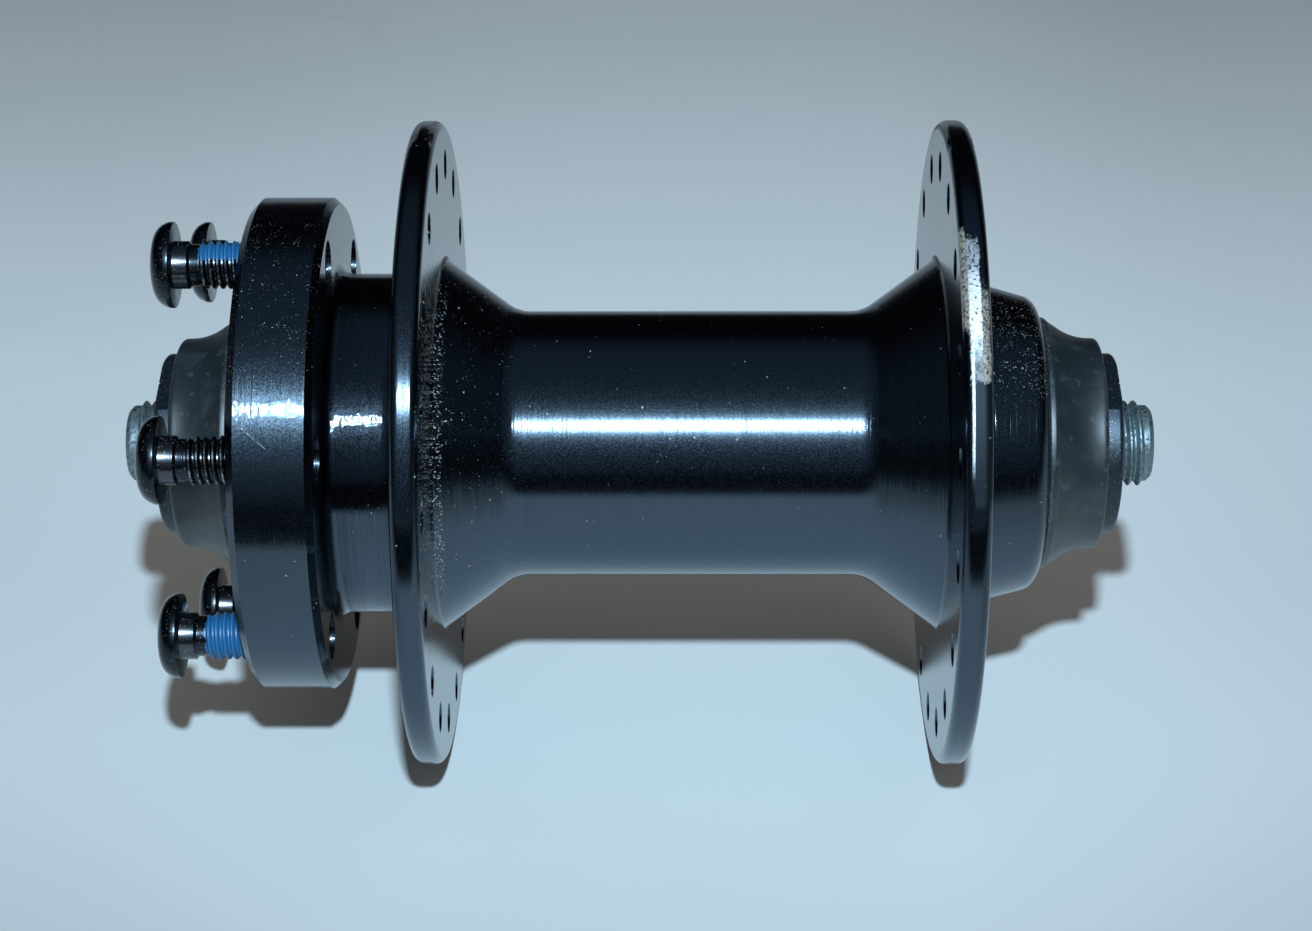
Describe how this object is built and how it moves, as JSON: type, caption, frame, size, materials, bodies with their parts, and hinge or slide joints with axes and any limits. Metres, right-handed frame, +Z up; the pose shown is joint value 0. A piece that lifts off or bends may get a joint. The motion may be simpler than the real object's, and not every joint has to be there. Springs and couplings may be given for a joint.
{
  "type": "bicycle front hub",
  "caption": "Bicycle front hub for disc brakes: black shell with spoke flanges and a bolted rotor mount, cup and cone bearings and a hollow quick-release axle.",
  "frame": {"origin": "middle of the axle, halfway between the two locknut faces", "axes": "+Y along the axle to the disc side (the bike's left), +X forwards, +Z up"},
  "size_m": [0.068, 0.108, 0.068],
  "materials": {
    "anodised_black": "gloss black over aluminium, worn bright on one rim",
    "zinc_steel": "dull zinc plate",
    "race_steel": "ground",
    "plain_steel": "plain",
    "polished_steel": "polished",
    "black_steel": "black oxide, satin",
    "rubber": "matt, dusty",
    "bolt_black": "black oxide, glossy, with a blue thread-lock patch"
  },
  "bodies": {
    "axle_assembly": {"axle": "zinc_steel", "cone_left": "race_steel", "cone_right": "race_steel", "lock_washer_left": "plain_steel", "lock_washer_right": "plain_steel", "locknut_left": "black_steel", "locknut_right": "black_steel", "seal_left": "rubber", "seal_right": "rubber", "dust_boot_left": "rubber", "dust_boot_right": "rubber"},
    "hub": {"hub_shell": "anodised_black", "bearing_cup_left": "race_steel", "bearing_cup_right": "race_steel", "dust_cap_left": "plain_steel", "dust_cap_right": "plain_steel"},
    "ball_set_left": {"balls_left": "polished_steel", "ball_retainer_left": "plain_steel"},
    "ball_set_right": {"balls_right": "polished_steel", "ball_retainer_right": "plain_steel"},
    "disc_bolt_1": {"disc_bolt_1": "bolt_black"},
    "disc_bolt_2": {"disc_bolt_2": "bolt_black"},
    "disc_bolt_3": {"disc_bolt_3": "bolt_black"},
    "disc_bolt_4": {"disc_bolt_4": "bolt_black"},
    "disc_bolt_5": {"disc_bolt_5": "bolt_black"},
    "disc_bolt_6": {"disc_bolt_6": "bolt_black"}
  },
  "joints": [
    {"name": "hub_spin", "type": "hinge", "parent": "axle_assembly", "child": "hub", "pos_m": [0, 0, 0], "axis": [0, 1, 0], "continuous": true},
    {"name": "ball_set_left_roll", "type": "hinge", "parent": "axle_assembly", "child": "ball_set_left", "pos_m": [0, 0, 0], "axis": [0, 1, 0], "continuous": true},
    {"name": "ball_set_right_roll", "type": "hinge", "parent": "axle_assembly", "child": "ball_set_right", "pos_m": [0, 0, 0], "axis": [0, 1, 0], "continuous": true},
    {"name": "disc_bolt_1_travel", "type": "slide", "parent": "hub", "child": "disc_bolt_1", "axis": [0, 1, 0], "range_m": [-0.007, 0.00285]},
    {"name": "disc_bolt_2_travel", "type": "slide", "parent": "hub", "child": "disc_bolt_2", "axis": [0, 1, 0], "range_m": [-0.00705, 0.0028]},
    {"name": "disc_bolt_3_travel", "type": "slide", "parent": "hub", "child": "disc_bolt_3", "axis": [0, 1, 0], "range_m": [-0.00675, 0.0031]},
    {"name": "disc_bolt_4_travel", "type": "slide", "parent": "hub", "child": "disc_bolt_4", "axis": [0, 1, 0], "range_m": [-0.0069, 0.00295]},
    {"name": "disc_bolt_5_travel", "type": "slide", "parent": "hub", "child": "disc_bolt_5", "axis": [0, 1, 0], "range_m": [-0.0064, 0.00345]},
    {"name": "disc_bolt_6_travel", "type": "slide", "parent": "hub", "child": "disc_bolt_6", "axis": [0, 1, 0], "range_m": [-0.00645, 0.0034]}
  ],
  "couplings": [
    {"joint": "ball_set_left_roll", "follows": "hub_spin", "ratio": 0.5936},
    {"joint": "ball_set_right_roll", "follows": "hub_spin", "ratio": 0.5936}
  ]
}
